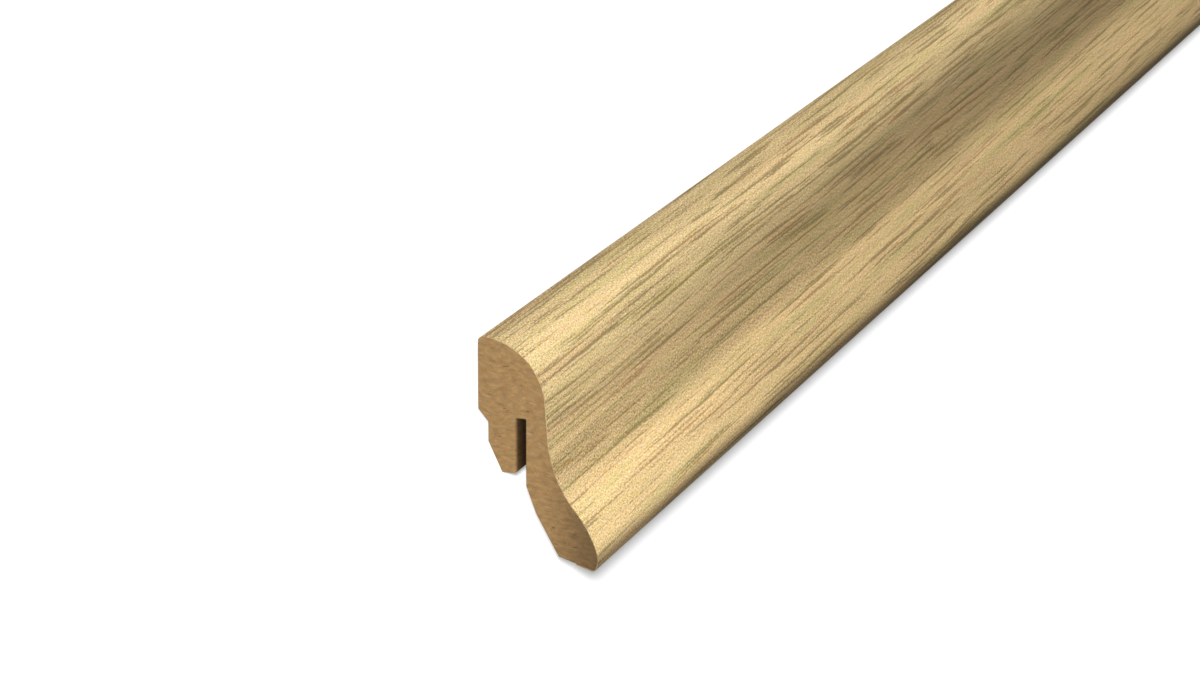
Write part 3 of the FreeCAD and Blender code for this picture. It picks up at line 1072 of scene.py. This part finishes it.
# %% Camera
CAMERA_OUT = 266.9               # mm from the wall
CAMERA_UP = 244.3                # mm above the floor
CAMERA_BACK = 748.5              # mm before the near end
CAMERA_TURN = 18.125
CAMERA_PITCH = 14.449
FOCAL_PIXELS = 4829.2
PICTURE_WIDTH = 1200             # pixels
SENSOR_WIDTH = 36.0              # mm
SEEN_FROM = 0.01                 # metres
SEEN_TO = 50.0

eye = place(-HALF - CAMERA_BACK, Vector((CAMERA_OUT, CAMERA_UP)))
turn = math.radians(CAMERA_TURN)
pitch = math.radians(CAMERA_PITCH)
level = ALONG * math.cos(turn) - OUT * math.sin(turn)
forward = level * math.cos(pitch) - UP * math.sin(pitch)
right = forward.cross(UP).normalized()
above = right.cross(forward)

lens = bpy.data.cameras.new("camera")
lens.sensor_width = SENSOR_WIDTH
lens.lens = SENSOR_WIDTH * FOCAL_PIXELS / PICTURE_WIDTH
lens.clip_start = SEEN_FROM
lens.clip_end = SEEN_TO
camera = bpy.data.objects.new("camera", lens)
facing = Matrix((right, above, -forward)).transposed().to_4x4()
camera.matrix_world = Matrix.Translation(eye) @ facing
bpy.context.scene.collection.objects.link(camera)
bpy.context.scene.camera = camera
print("lens", round(lens.lens, 2), "mm; eye", [round(v, 3) for v in eye])

# %% [markdown]
# ## Floor
#
# A product picture on white: the floor is a pale sheet that the camera sees as white, darkened only
# where the board keeps the light off it. A white floor would also throw a lot of light back at the
# underside of the board. So the floor is two sheets in one, by the kind of ray: the camera sees a
# pale one that glows a little, and the light that reaches the board comes off a grey one.

# %% Floor
WHITE = (1.0, 1.0, 1.0, 1.0)
FLOOR_COLOUR = (0.18, 0.18, 0.18, 1.0)
FLOOR_SEEN = (0.62, 0.62, 0.62, 1.0)
FLOOR_GLOW = 0.38
FLOOR_HALF = 12.0                # metres
FLOOR_CORNERS = ((-1, -1, 0), (1, -1, 0), (1, 1, 0), (-1, 1, 0))


def seeing_rays(tree):
    """1 for the rays that see the white background: the camera's and those off or through a piece."""
    kinds = ("Is Camera Ray", "Is Glossy Ray", "Is Transmission Ray")
    rays = [tree.node("ShaderNodeLightPath", output=kind) for kind in kinds]
    return rays[0] + rays[1] + rays[2]


def floor_finish():
    finish = Finish("white_floor")
    plain = finish.node("ShaderNodeBsdfDiffuse", None, {"Color": FLOOR_COLOUR})
    seen = finish.node("ShaderNodeBsdfDiffuse", None, {"Color": FLOOR_SEEN})
    glow = finish.node("ShaderNodeEmission", None, {"Color": WHITE, "Strength": FLOOR_GLOW})
    both = finish.node("ShaderNodeAddShader", None, {0: seen, 1: glow})
    shaders = {0: seeing_rays(finish), 1: plain, 2: both}
    finish.surface(finish.node("ShaderNodeMixShader", None, shaders))
    return finish.material


floor_mesh = bpy.data.meshes.new("floor")
floor_mesh.from_pydata(FLOOR_CORNERS, [], [(0, 1, 2, 3)])
floor_mesh.transform(Matrix.Scale(FLOOR_HALF, 4))
floor = bpy.data.objects.new("floor", floor_mesh)
floor.data.materials.append(floor_finish())
bpy.context.scene.collection.objects.link(floor)
print("floor", FLOOR_HALF * 2, "m square")

# %% [markdown]
# ## The studio's air
#
# The world is white where the camera or a reflection looks at it, and only a faint even light for
# everything else, so the background is white without flooding the board with light.

# %% World
AMBIENT = 0.06

world = bpy.data.worlds.new("studio")
world.use_nodes = True
backdrop = world.node_tree.nodes["Background"]
backdrop.inputs["Color"].default_value = WHITE
studio = NodeTree(world.node_tree)
seeing = seeing_rays(studio)
studio.feed(backdrop.inputs["Strength"], seeing + (1 - seeing) * AMBIENT)
bpy.context.scene.world = world
print("even light", AMBIENT, "of the white that is seen")

# %% [markdown]
# ## Light on the board
#
# The head and the swell of the real board are bright and its cove is in half shade. One broad light
# from over the head of the mounted board does that. A second one is there for the far cut end, which
# would be black from behind. Two small softboxes stand by the near end, one for the cut end and one
# for the face beside it. The first two are sun lamps, because those light all 2.4 metres alike, and
# the others are area lamps, because only the near end needs them.

# %% Light on the board
SKY_POWER = 2.55
SKY_RISE = 77.0                  # degrees up from straight out of the wall
SKY_SPREAD = 40.0
FAR_POWER = 2.0
FAR_SPREAD = 4.0
NEAR_AIM = (12, 20)              # mm out and up on the cut end
END_PLACE = (-175.0, 10.0, 24.0)       # mm along from the near end, out and up
END_POWER = 0.25
END_SIZE = 0.06                  # metres
FRONT_PLACE = (-90.0, 252.0, 30.0)
FRONT_POWER = 0.38
FRONT_SIZE = 0.09


def shine(name, kind, position, aim, **settings):
    """A lamp at a place, pointed along a direction."""
    data = bpy.data.lights.new(name, kind)
    for key, value in settings.items():
        setattr(data, key, value)
    made = bpy.data.objects.new(name, data)
    made.location = position
    made.rotation_euler = aim.to_track_quat("-Z", "Y").to_euler()
    bpy.context.scene.collection.objects.link(made)
    return made


def near_lamp(name, spot, power, size):
    """A small softbox before the near end, pointed at the cut end."""
    at = place(-HALF + spot[0], Vector(spot[1:]))
    aim = place(-HALF, Vector(NEAR_AIM)) - at
    made = shine(name, "AREA", at, aim, energy=power, size=size)
    made.visible_camera = False
    return made


rise = towards(SKY_RISE)
above_board = OUT * rise.x + UP * rise.y
top_light = shine("top_light", "SUN", above_board, -above_board,
                  energy=SKY_POWER, angle=math.radians(SKY_SPREAD))
far_light = shine("far_light", "SUN", ALONG, -ALONG,
                  energy=FAR_POWER, angle=math.radians(FAR_SPREAD))
far_light.visible_glossy = False
end_lamp = near_lamp("end_lamp", END_PLACE, END_POWER, END_SIZE)
front_lamp = near_lamp("front_lamp", FRONT_PLACE, FRONT_POWER, FRONT_SIZE)
board_lights = (top_light, far_light, end_lamp, front_lamp)
print("lights on the board", [light.name for light in board_lights])

# %% [markdown]
# ## The floor's own light
#
# The board is seen standing but lies down, so the lights that model its face would throw its shadow
# to the wrong side. Light linking sorts that out: the board's lights don't reach the floor, and one
# lamp for the floor alone lays a soft narrow shade along the toe, as in the picture of the real one.

# %% The floor's own light
FLOOR_POWER = 8.7
FLOOR_SPREAD = 8.0               # degrees
FLOOR_FROM = Vector((-2.2, 0.50, 1.0)).normalized()


def receivers(name, pieces):
    """A collection of the pieces that a light may reach."""
    made = bpy.data.collections.new(name)
    for piece in pieces:
        made.objects.link(piece)
    return made


floor_light = shine("floor_light", "SUN", FLOOR_FROM, -FLOOR_FROM,
                    energy=FLOOR_POWER, angle=math.radians(FLOOR_SPREAD))
floor_light.light_linking.receiver_collection = receivers("floor_only", [floor])
board_only = receivers("board_only", [core, foil])
for light in board_lights:
    light.light_linking.receiver_collection = board_only

bpy.context.scene.view_settings.view_transform = "Standard"
